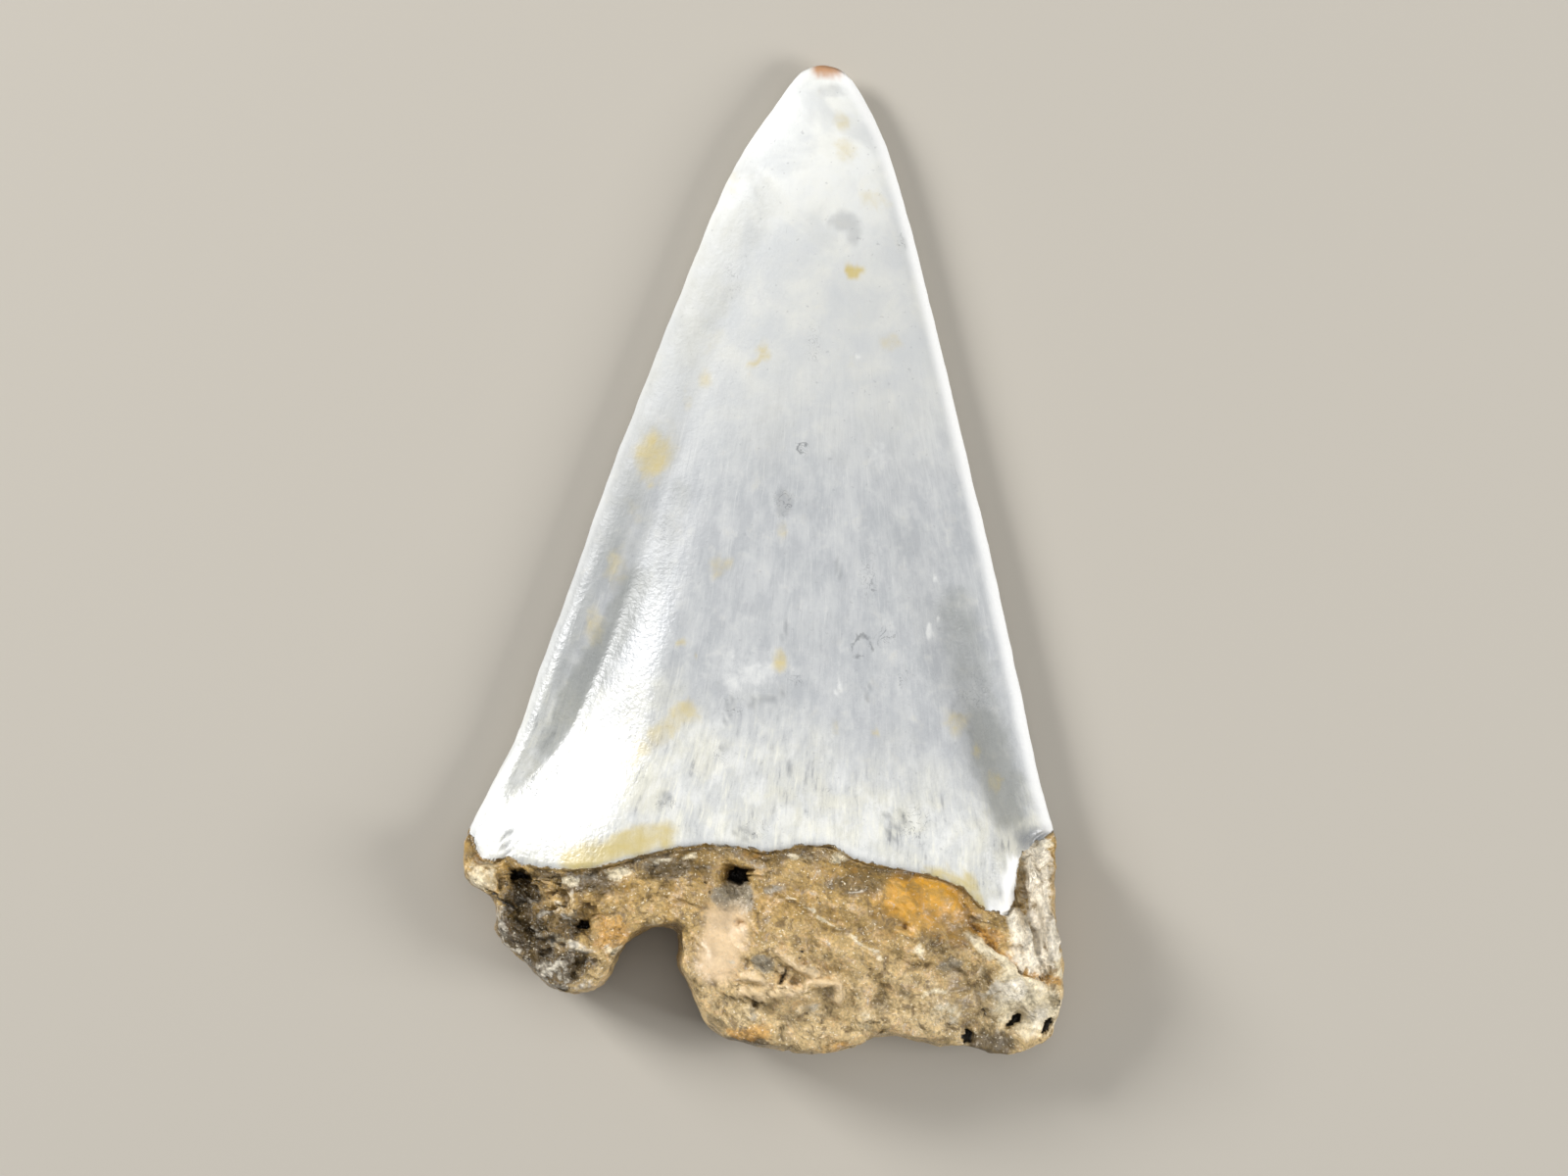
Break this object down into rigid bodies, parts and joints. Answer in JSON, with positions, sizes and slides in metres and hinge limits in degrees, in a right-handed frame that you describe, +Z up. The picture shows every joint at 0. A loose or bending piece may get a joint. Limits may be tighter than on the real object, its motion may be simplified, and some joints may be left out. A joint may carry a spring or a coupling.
{
  "type": "fossil shark tooth",
  "caption": "Fossil tooth of a broad-toothed mako shark: a flat triangular enamel crown on a worn root with one broken lobe, lying flat with its domed face up.",
  "frame": {"origin": "below the middle of the tooth's bounding box, on the surface it rests on", "axes": "+Y from the root to the tip, +X to the right seen from above with the tip away from the viewer, +Z up through the domed inner face"},
  "size_m": [0.039, 0.064, 0.0088],
  "materials": {
    "fossil": "satin-gloss blue-grey enamel on the crown, matt mottled brown dentine on the root"
  },
  "bodies": {
    "root": {"tooth": "fossil"}
  },
  "joints": []
}
